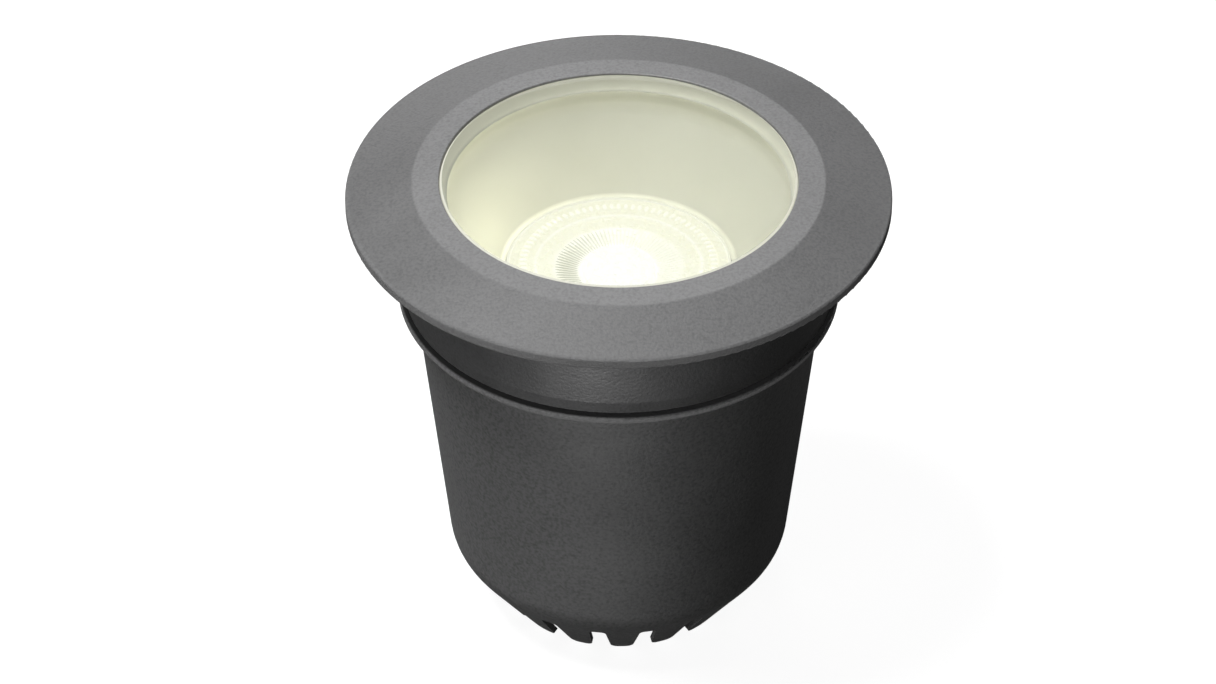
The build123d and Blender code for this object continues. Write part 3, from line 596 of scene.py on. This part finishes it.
# %% Turning a profile
def turn(name, profile, material_of, materials, segments=256, sharp_degrees=20):
    """A closed ring or disc turned about Z from (radius, height) points in mm, listed so that
    the inside lies on the left. material_of gives each band between two points its material."""
    mesh = bmesh.new()
    columns = []
    for radius, height in profile:
        if radius == 0:
            columns.append([mesh.verts.new((0, 0, height * MM))])
            continue
        ring = []
        for k in range(segments):
            angle = 2 * math.pi * k / segments
            ring.append(mesh.verts.new(
                (radius * MM * math.cos(angle), radius * MM * math.sin(angle), height * MM)
            ))
        columns.append(ring)
    closed = profile[0][0] > 0
    bands = list(zip(columns, columns[1:] + ([columns[0]] if closed else [])))
    for band, (low, high) in enumerate(bands):
        for k in range(segments):
            after = (k + 1) % segments
            corners = []
            for corner in (low[k % len(low)], low[after % len(low)],
                           high[after % len(high)], high[k % len(high)]):
                if corner not in corners:
                    corners.append(corner)
            if len(corners) > 2:
                face = mesh.faces.new(corners)
                face.material_index = material_of[band]
                face.smooth = True
    bmesh.ops.recalc_face_normals(mesh, faces=mesh.faces)
    for edge in mesh.edges:
        edge.smooth = edge.calc_face_angle(0) < math.radians(sharp_degrees)
    data = bpy.data.meshes.new(name)
    mesh.to_mesh(data)
    mesh.free()
    for material in materials:
        data.materials.append(material)
    return stand(name, data)


# %% [markdown]
# ### Three kinds of glass
# The pane's faces are polished, its rim is ground, and the small bevel round its top face carries
# a painted highlight, a weak glow. Clear glass bends light by its index of refraction, and it
# carries faint smears. Ground glass could be the same glass, only rough, but that renders slowly
# and full of noise. What it scatters reaches the eye from all of its surface, so here it is a matt
# surface that glows weakly.

# %% Glass materials
GLASS_IOR = 1.5

clear_glass, _, _ = handled(
    "clear_glass", ((0.985, 0.995, 0.975, 1), (0.975, 0.985, 0.965, 1)), (0.0, 0.035), 16.0,
    Transmission_Weight=1.0, IOR=GLASS_IOR,
)
ground_edge, _, _ = handled(
    "ground_edge", ((0.20, 0.20, 0.18, 1), (0.18, 0.18, 0.16, 1)), (0.6, 0.75), 2.0,
    bump=0.2, Emission_Color=(0.80, 0.80, 0.66, 1), Emission_Strength=0.45,
)
# The bevel's glow is a painted highlight.
arris_painted_highlight, _, _ = handled(
    "arris_painted_highlight", ((0.12, 0.12, 0.11, 1), (0.09, 0.09, 0.08, 1)), (0.6, 0.7), 1.2,
    bump=0.2, Emission_Color=(0.90, 0.90, 0.76, 1), Emission_Strength=0.72,
)
print("glass materials:", clear_glass.name, ground_edge.name, arris_painted_highlight.name)

# %% [markdown]
# ### The pane
# The profile runs from the middle of the lower face out to the rim, up to a step, along the
# narrower upper part and back to the middle. The box of the CAD pane gives its size. The new pane
# stands a hair clear of the gasket, so that no two faces lie in one place, and takes the CAD
# pane's place.

# %% The pane, with its sizes in mm
HAIR = 0.03
STEP_HEIGHT, STEP_RADIUS = 1.4, 39.15
ARRIS = 0.4
POLISHED, GROUND, ARRIS_FACE = 0, 1, 2

glass_low, glass_high = (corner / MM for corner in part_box("glass_pane"))
rim = glass_high.x - HAIR
base, top = glass_low.z + HAIR, glass_high.z
shoulder = top - STEP_HEIGHT
pane_profile = [
    (0, base),
    (rim - ARRIS, base),
    (rim, base + ARRIS),
    (rim, shoulder - ARRIS),
    (rim - ARRIS, shoulder),
    (STEP_RADIUS, shoulder),
    (STEP_RADIUS, top - ARRIS),
    (STEP_RADIUS - ARRIS, top),
    (0, top),
]
glass = turn(
    "window_glass", pane_profile,
    [POLISHED, GROUND, GROUND, GROUND, GROUND, GROUND, ARRIS_FACE, POLISHED],
    [clear_glass, ground_edge, arris_painted_highlight],
)
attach(glass, "glass_pack")
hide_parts("glass_pane")
print("glass:", round(2 * rim, 2), "mm across,", round(top - base, 2), "mm thick")

# %% [markdown]
# ## The lit lens
# The lamp's lens is clear plastic over a bright chip. From above it reads as zones of warm white: a
# creamy outer land, a ring of small beads, a brighter middle with fine radial ribs, and a hot centre.
# Real optics and a real chip would render slowly and full of noise. The zones depend only on the
# distance from the axis, so a colour ramp over that distance paints them, and they glow.

# %% Lens materials
LENS_GLOW = 1.05
UNLIT_LENS = (0.015, 0.015, 0.013, 1)
LENS_REACH = 25 * MM
LENS_ZONES = [
    (0.00, (1.0, 1.0, 0.99)),
    (0.31, (1.0, 1.0, 0.97)),
    (0.40, (0.985, 0.98, 0.86)),
    (0.56, (0.985, 0.98, 0.86)),
    (0.60, (0.935, 0.93, 0.77)),
    (0.72, (0.93, 0.925, 0.76)),
    (0.74, (0.99, 0.985, 0.88)),
    (0.765, (0.925, 0.92, 0.755)),
    (0.88, (0.90, 0.895, 0.72)),
    (1.00, (0.925, 0.92, 0.76)),
]
DETAIL_LEFT_MM, DETAIL_RIGHT_MM = -15, 1


def make_lamp_lens():
    """The lens: its zones, each given as a share of LENS_REACH and a colour, with faint specks."""
    material, tree, shader = blank("lamp_lens")
    share = maths(tree, "DIVIDE", axis_distance(tree), LENS_REACH)
    zones = add(tree, "ShaderNodeValToRGB", {0: share})
    ramp = zones.color_ramp
    for position, _ in LENS_ZONES[1:-1]:
        ramp.elements.new(position)
    elements = sorted(ramp.elements, key=lambda element: element.position)
    for element, (position, colour) in zip(elements, LENS_ZONES):
        element.position = position
        element.color = (*colour, 1)
    specks = {"Tone": grey(1.0), "Marked Tone": (0.95, 0.95, 0.9, 1), "Roughness": 0.2,
              "Marked Roughness": 0.35, "Patch mm": 1.3}
    speckle = add(tree, "ShaderNodeGroup", specks, node_tree=handling)
    glow = add(
        tree, "ShaderNodeMix", {0: 1.0, 6: zones.outputs[0], 7: speckle.outputs["Color"]},
        data_type="RGBA", blend_type="MULTIPLY",
    ).outputs[2]
    feed(shader, "Emission Color", glow)
    feed(shader, "Roughness", speckle.outputs["Roughness"])
    shader.inputs["Base Color"].default_value = UNLIT_LENS
    shader.inputs["Emission Strength"].default_value = LENS_GLOW
    return material


def make_lens_detail(name, left, right):
    """The glow of fine relief on the lens, one tone at its left side and one at its right. A darker
    left tone is painted shade on the relief.
    """
    material, tree, shader = blank(name)
    rightward = fade(tree, along(tree, "X"), 0, DETAIL_LEFT_MM, DETAIL_RIGHT_MM)
    light_up(tree, shader, rightward, left, right)
    shader.inputs["Emission Strength"].default_value = LENS_GLOW
    shader.inputs["Base Color"].default_value = UNLIT_LENS
    shader.inputs["Roughness"].default_value = 0.25
    return material


lamp_lens = make_lamp_lens()
bead_glow = make_lens_detail("bead_glow", (0.97, 0.965, 0.85, 1), (0.96, 0.955, 0.83, 1))
# The ribs' much darker left tone is painted shade on the side of the relief away from the light.
rib_glow_painted_shade = make_lens_detail("rib_glow_painted_shade", (0.50, 0.51, 0.40, 1), (0.93, 0.925, 0.79, 1))
led_board, _, _ = handled(
    "led_board", ((0.78, 0.76, 0.6, 1), (0.74, 0.7, 0.5, 1)), (0.4, 0.5), 3.0, bump=0.05
)
dress(lamp_lens, "lamp_lens")
dress(led_board, "lamp_led_board")

# %% [markdown]
# ## Growing repeats with Geometry Nodes
# Beads, ribs and thread turns are one small shape many times over. A Geometry Nodes tree with named
# sizes makes each of them. An empty mesh carries the tree as a modifier, which is run once. The
# result is kept as a plain mesh and the empty one goes, so that what is left can be exported and
# moved like any other piece. Every tree ends in the same way, so a helper builds that end.

# %% Helpers: end a tree, run a tree once
def raise_and_paint(tree, given, result, shape, height, smooth=False):
    """Ends a tree: lifts the shape, makes its copies real and gives them the material."""
    lift = add(tree, "ShaderNodeCombineXYZ", {"Z": height}).outputs[0]
    raised = add(tree, "GeometryNodeTransform", {"Geometry": shape, "Translation": lift}).outputs[0]
    real = add(tree, "GeometryNodeRealizeInstances", {"Geometry": raised}).outputs[0]
    if smooth:
        real = add(tree, "GeometryNodeSetShadeSmooth", {"Geometry": real}).outputs[0]
    feeds = {"Geometry": real, "Material": given.outputs["Material"]}
    painted = add(tree, "GeometryNodeSetMaterial", feeds).outputs[0]
    tree.links.new(painted, result.inputs["Geometry"])


def grow(name, tree, values, material, body):
    """The plain mesh that a Geometry Nodes tree makes with these values, riding on a body."""
    seed = stand(name + "_seed", bpy.data.meshes.new(name + "_seed"))
    modifier = seed.modifiers.new("grow", "NODES")
    modifier.node_group = tree
    wanted = {**values, "Material": material}
    for item in tree.interface.items_tree:
        if item.in_out == "INPUT" and item.name in wanted:
            modifier[item.identifier] = wanted[item.name]
    graph = bpy.context.evaluated_depsgraph_get()
    mesh = bpy.data.meshes.new_from_object(seed.evaluated_get(graph), depsgraph=graph)
    mesh.name = name
    bpy.data.objects.remove(seed)
    made = stand(name, mesh)
    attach(made, body)
    print(name, "has", len(mesh.polygons), "faces")
    return made


# %% [markdown]
# ### A wheel of spokes
# The lens has a ring of beads and a ring of ribs. Both are spokes of a wheel: a short shape set on
# a circle and turned to point outwards. One tree makes both. It squeezes a ball to the size of one
# spoke, places it on the points of a circle, and turns each copy by its own angle.

# %% Geometry Nodes: spokes
def make_spokes():
    tree, given, result = group(
        "spokes",
        "GeometryNodeTree",
        [
            ("Count", INTEGER, 72),
            ("Radius", FLOAT, 20 * MM),
            ("Height", FLOAT, 80 * MM),
            ("Length", FLOAT, 2 * MM),
            ("Width", FLOAT, 1 * MM),
            ("Rise", FLOAT, 0.4 * MM),
            ("Tilt", FLOAT, 0.0),
            ("Material", MATERIAL, None),
        ],
        [("Geometry", GEOMETRY)],
    )
    ball = add(tree, "GeometryNodeMeshUVSphere", {"Segments": 10, "Rings": 6, "Radius": 0.5})
    size = add(
        tree, "ShaderNodeCombineXYZ",
        {"X": given.outputs["Length"], "Y": given.outputs["Width"], "Z": given.outputs["Rise"]},
    )
    tilt = add(tree, "ShaderNodeCombineXYZ", {"Y": given.outputs["Tilt"]})
    spoke = add(
        tree, "GeometryNodeTransform",
        {"Geometry": ball.outputs["Mesh"], "Rotation": tilt.outputs[0], "Scale": size.outputs[0]},
    )
    wheel = add(
        tree, "GeometryNodeMeshCircle",
        {"Vertices": given.outputs["Count"], "Radius": given.outputs["Radius"]},
    )
    turn_step = maths(tree, "DIVIDE", 2 * math.pi, given.outputs["Count"])
    number = add(tree, "GeometryNodeInputIndex").outputs[0]
    turned = add(tree, "ShaderNodeCombineXYZ", {"Z": maths(tree, "MULTIPLY", number, turn_step)})
    copies = add(
        tree, "GeometryNodeInstanceOnPoints",
        {"Points": wheel.outputs["Mesh"], "Instance": spoke.outputs[0],
         "Rotation": turned.outputs[0]},
    )
    raise_and_paint(tree, given, result, copies.outputs[0], given.outputs["Height"], smooth=True)
    return tree


# %% [markdown]
# ### Beads and ribs of the lens
# The beads stand shoulder to shoulder near the edge of the lens. The ribs are long and thin, and
# they lie on the slope round the hot centre, so they are tilted with it.

# %% Beads and ribs
RIB_FALL, RIB_RUN = 1.2, 5.75

spokes = make_spokes()
beads = grow(
    "lens_beads", spokes,
    {"Count": 84, "Radius": 21.25 * MM, "Height": lens_top - 0.05 * MM, "Length": 1.9 * MM,
     "Width": 0.95 * MM, "Rise": 0.7 * MM},
    bead_glow, "lamp",
)
ribs = grow(
    "lens_ribs", spokes,
    {"Count": 90, "Radius": 11.6 * MM, "Height": lens_top - 1.35 * MM, "Length": 5.4 * MM,
     "Width": 0.42 * MM, "Rise": 0.5 * MM, "Tilt": -math.atan2(RIB_FALL, RIB_RUN)},
    rib_glow_painted_shade, "lamp",
)

# %% [markdown]
# ### The thread
# The ring screws down on the housing's neck with a coarse thread of 3 mm pitch. A groove could be
# cut into both, but a ridge laid on the smooth wall looks the same and needs no cut. A ridge is a
# spiral swept with a small trapezoid, and one tree makes it for the neck and for the bore.

# %% Geometry Nodes: thread ridge
PITCH = 3.0
RIDGE = {"Turns": 3.0, "Pitch": PITCH * MM, "Root Width": 1.6 * MM, "Crest Width": 0.6 * MM}


def make_thread_ridge():
    tree, given, result = group(
        "thread_ridge",
        "GeometryNodeTree",
        [
            ("Turns", FLOAT, RIDGE["Turns"]),
            ("Pitch", FLOAT, RIDGE["Pitch"]),
            ("Radius", FLOAT, 45 * MM),
            ("Start", FLOAT, 90 * MM),
            ("Depth", FLOAT, 0.8 * MM),
            ("Root Width", FLOAT, RIDGE["Root Width"]),
            ("Crest Width", FLOAT, RIDGE["Crest Width"]),
            ("Material", MATERIAL, None),
        ],
        [("Geometry", GEOMETRY)],
    )
    # The Spiral node is left-handed, and Reverse makes it a right-hand thread.
    climb = maths(tree, "MULTIPLY", given.outputs["Turns"], given.outputs["Pitch"])
    spiral = add(
        tree, "GeometryNodeCurveSpiral",
        {"Resolution": 96, "Rotations": given.outputs["Turns"],
         "Start Radius": given.outputs["Radius"], "End Radius": given.outputs["Radius"],
         "Height": climb, "Reverse": True},
    )
    upright = add(tree, "GeometryNodeSetCurveNormal", {"Curve": spiral.outputs[0]}, mode="Z_UP")
    root = maths(tree, "MULTIPLY", given.outputs["Root Width"], 0.5)
    crest = maths(tree, "MULTIPLY", given.outputs["Crest Width"], 0.5)
    corners = {}
    for half_width, side, out in ((root, 1.0, 0.0), (crest, 1.0, 1.0), (crest, -1.0, 1.0),
                                  (root, -1.0, 0.0)):
        height = maths(tree, "MULTIPLY", half_width, side)
        depth = maths(tree, "MULTIPLY", given.outputs["Depth"], out)
        corner = add(tree, "ShaderNodeCombineXYZ", {"X": depth, "Y": height}).outputs[0]
        corners["Point %d" % (len(corners) + 1)] = corner
    section = add(tree, "GeometryNodeCurvePrimitiveQuadrilateral", corners, mode="POINTS")
    ridge = add(
        tree, "GeometryNodeCurveToMesh",
        {"Curve": upright.outputs[0], "Profile Curve": section.outputs[0], "Fill Caps": True},
    )
    # A ridge that stands out from its wall comes out of the sweep inside out, so it is flipped.
    stands_out = maths(tree, "GREATER_THAN", given.outputs["Depth"], 0.0)
    outward = add(
        tree, "GeometryNodeFlipFaces", {"Mesh": ridge.outputs[0], "Selection": stands_out}
    )
    raise_and_paint(tree, given, result, outward.outputs[0], given.outputs["Start"])
    return tree


# %% [markdown]
# ### Two threads that fit
# The neck's ridge points outwards and the bore's ridge inwards, half a pitch higher. When the ring
# turns in its joint it climbs 3 mm a turn, so the ridges slide along each other and never meet.
# Both are sunk a little into their walls, so that no gap shows.

# %% Both threads, with their sizes in mm
NECK_ROOT, BORE = 45.22, 46.2
THREAD_START = 93.2
RIDGE_DEPTH = 0.85
SUNK = 0.05

thread_ridge = make_thread_ridge()
neck_thread = grow(
    "neck_thread", thread_ridge,
    {**RIDGE, "Radius": (NECK_ROOT - SUNK) * MM, "Start": THREAD_START * MM,
     "Depth": RIDGE_DEPTH * MM},
    housing_coat, "housing",
)
bezel_thread = grow(
    "bezel_thread", thread_ridge,
    {**RIDGE, "Radius": (BORE + SUNK) * MM, "Start": (THREAD_START + PITCH / 2) * MM,
     "Depth": -RIDGE_DEPTH * MM},
    bezel_coat, "bezel",
)
for piece in (neck_thread, bezel_thread):
    radii = [math.hypot(v.co.x, v.co.y) / MM for v in piece.data.vertices]
    heights = [v.co.z / MM for v in piece.data.vertices]
    print(piece.name, "radius", round(min(radii), 2), round(max(radii), 2),
          "height", round(min(heights), 2), round(max(heights), 2))

# %% [markdown]
# ## The studio
# The photograph has a plain white ground, yet the right side of the body falls nearly to black. So
# white surroundings may not light the object. Light Path tells the rays apart: the camera and rays
# through glass see white, the light that bounces sees a dark floor and no sky, and mirror images
# see only a trace of white, because in full strength they would turn the dark coat pale grey. The
# floor's own grey under its glow is what keeps the object's shadow. The view transform is Standard,
# which shows a colour about as it is written.

# %% Floor and world
FLOOR_SIZE = 6.0
FLOOR_WHITE = 0.93
SHADOW_GREY, BOUNCE_GREY = grey(0.18), grey(0.03)
IN_MIRRORS = 0.03


def share_seen(tree, rays):
    """How white the surroundings are: 1 for the camera and through glass, a trace in mirrors."""
    mirrored = maths(tree, "MULTIPLY", rays.outputs["Is Glossy Ray"], IN_MIRRORS)
    seen = maths(tree, "ADD", rays.outputs["Is Camera Ray"], mirrored)
    seen = maths(tree, "ADD", seen, rays.outputs["Is Transmission Ray"])
    return maths(tree, "MINIMUM", seen, 1.0)


def make_floor():
    mesh = bmesh.new()
    bmesh.ops.create_grid(mesh, x_segments=1, y_segments=1, size=FLOOR_SIZE / 2)
    data = bpy.data.meshes.new("floor")
    mesh.to_mesh(data)
    mesh.free()
    floor = stand("floor", data)
    material, tree, shader = blank("floor_white")
    shader.inputs["Roughness"].default_value = 0.9
    shader.inputs["Specular IOR Level"].default_value = 0.0
    shader.inputs["Emission Color"].default_value = grey(1.0)
    rays = add(tree, "ShaderNodeLightPath")
    feed(shader, "Emission Strength", maths(tree, "MULTIPLY", share_seen(tree, rays), FLOOR_WHITE))
    camera_ray = rays.outputs["Is Camera Ray"]
    feed(shader, "Base Color", blend_colours(tree, camera_ray, BOUNCE_GREY, SHADOW_GREY))
    data.materials.append(material)


def make_world():
    world = bpy.data.worlds.new("studio")
    bpy.context.scene.world = world
    world.use_nodes = True
    tree = world.node_tree
    tree.nodes.clear()
    seen = share_seen(tree, add(tree, "ShaderNodeLightPath"))
    dark = add(tree, "ShaderNodeBackground", {"Color": grey(1.0), "Strength": 0.0})
    white = add(tree, "ShaderNodeBackground", {"Color": grey(1.0), "Strength": 1.0})
    mixed = add(tree, "ShaderNodeMixShader", {0: seen, 1: dark.outputs[0], 2: white.outputs[0]})
    output = add(tree, "ShaderNodeOutputWorld")
    tree.links.new(mixed.outputs[0], output.inputs["Surface"])


make_floor()
make_world()
bpy.context.scene.view_settings.view_transform = "Standard"
print("floor:", FLOOR_SIZE, "m wide, white by", FLOOR_WHITE)

# %% [markdown]
# ## The studio lamps
# One high key from the left makes most of the light, and four weak ones from the front and the
# back fill the shadows. Two more do one thing each. A low lamp in front makes only the narrow
# sheen on the upright walls, so it is switched off for diffuse surfaces. A lamp behind lights only
# the matt rear, so it is switched off for glossy rays and puts no glare on flange and glass. Each
# place is a compass turn and a height, which reads like a plan of the studio.

# %% Studio lamps
STUDIO = [
    # name, turn and rise in degrees, size in metres, watts, what it is switched off for
    ("key", 185, 69, 0.5, 26.8, None),
    ("front", 238, 22, 0.4, 1.0, None),
    ("front_low", 225, 8, 0.4, 2.8, None),
    ("back_left", 98, 14, 0.5, 1.2, None),
    ("back", 88, 55, 0.4, 2.6, None),
    ("sheen", 257, 4, 0.4, 78, "diffuse"),
    ("back_fill", 75, 10, 0.6, 9, "glossy"),
]
LAMP_DISTANCE = 1.4


def area_lamp(name, place, target, size, watts):
    """A square area lamp that looks at a point."""
    data = bpy.data.lights.new(name, "AREA")
    data.size, data.energy = size, watts
    lamp = stand(name, data)
    lamp.location = place
    look_along(lamp, Vector(target) - Vector(place))
    return lamp


def placed(turn_degrees, rise_degrees):
    """A point seen from AIM at a compass turn from +X and a height in degrees."""
    turned, rise = math.radians(turn_degrees), math.radians(rise_degrees)
    level = math.cos(rise)
    way = Vector((level * math.cos(turned), level * math.sin(turned), math.sin(rise)))
    return AIM + LAMP_DISTANCE * way


for name, turn_degrees, rise_degrees, size, watts, off_for in STUDIO:
    studio_lamp = area_lamp(name, placed(turn_degrees, rise_degrees), AIM, size, watts)
    if off_for:
        setattr(studio_lamp, "visible_" + off_for, False)
print("studio lamps:", len(STUDIO))

# %% [markdown]
# ## The object's own light
# The glow of the lens could light the funnel by itself, but light from a glowing face is found by
# chance and is full of noise. So a small disc just over the lens lights the funnel, and a point to
# its left adds to it, because the left of the funnel is the brighter side. Both ride on the lamp's
# body, so they stay with the lens when the light is lifted, and no ray from the camera, a mirror
# or the glass sees them.

# %% The object's own light
LAMP_COLOUR = (1.0, 0.975, 0.80)
DISC_PLACE, DISC_WIDTH, DISC_WATTS = Vector((0, 0, lens_top + 1.2 * MM)), 44 * MM, 0.001
POINT_PLACE = (-15 * MM, 1 * MM, lens_top + 15 * MM)
POINT_RADIUS, POINT_WATTS = 6 * MM, 0.021

disc_lamp = area_lamp("lamp_glow", DISC_PLACE, (0, 0, 1), DISC_WIDTH, DISC_WATTS)
disc_lamp.data.shape = "DISK"
point_lamp = stand("lamp_eye", bpy.data.lights.new("lamp_eye", "POINT"))
point_lamp.data.energy, point_lamp.data.shadow_soft_size = POINT_WATTS, POINT_RADIUS
point_lamp.location = POINT_PLACE
for lamp in (disc_lamp, point_lamp):
    lamp.data.color = LAMP_COLOUR
    for ray in ("camera", "glossy", "transmission"):
        setattr(lamp, "visible_" + ray, False)
    lamp.parent = bodies["lamp"]
print("own light:", disc_lamp.name, point_lamp.name)
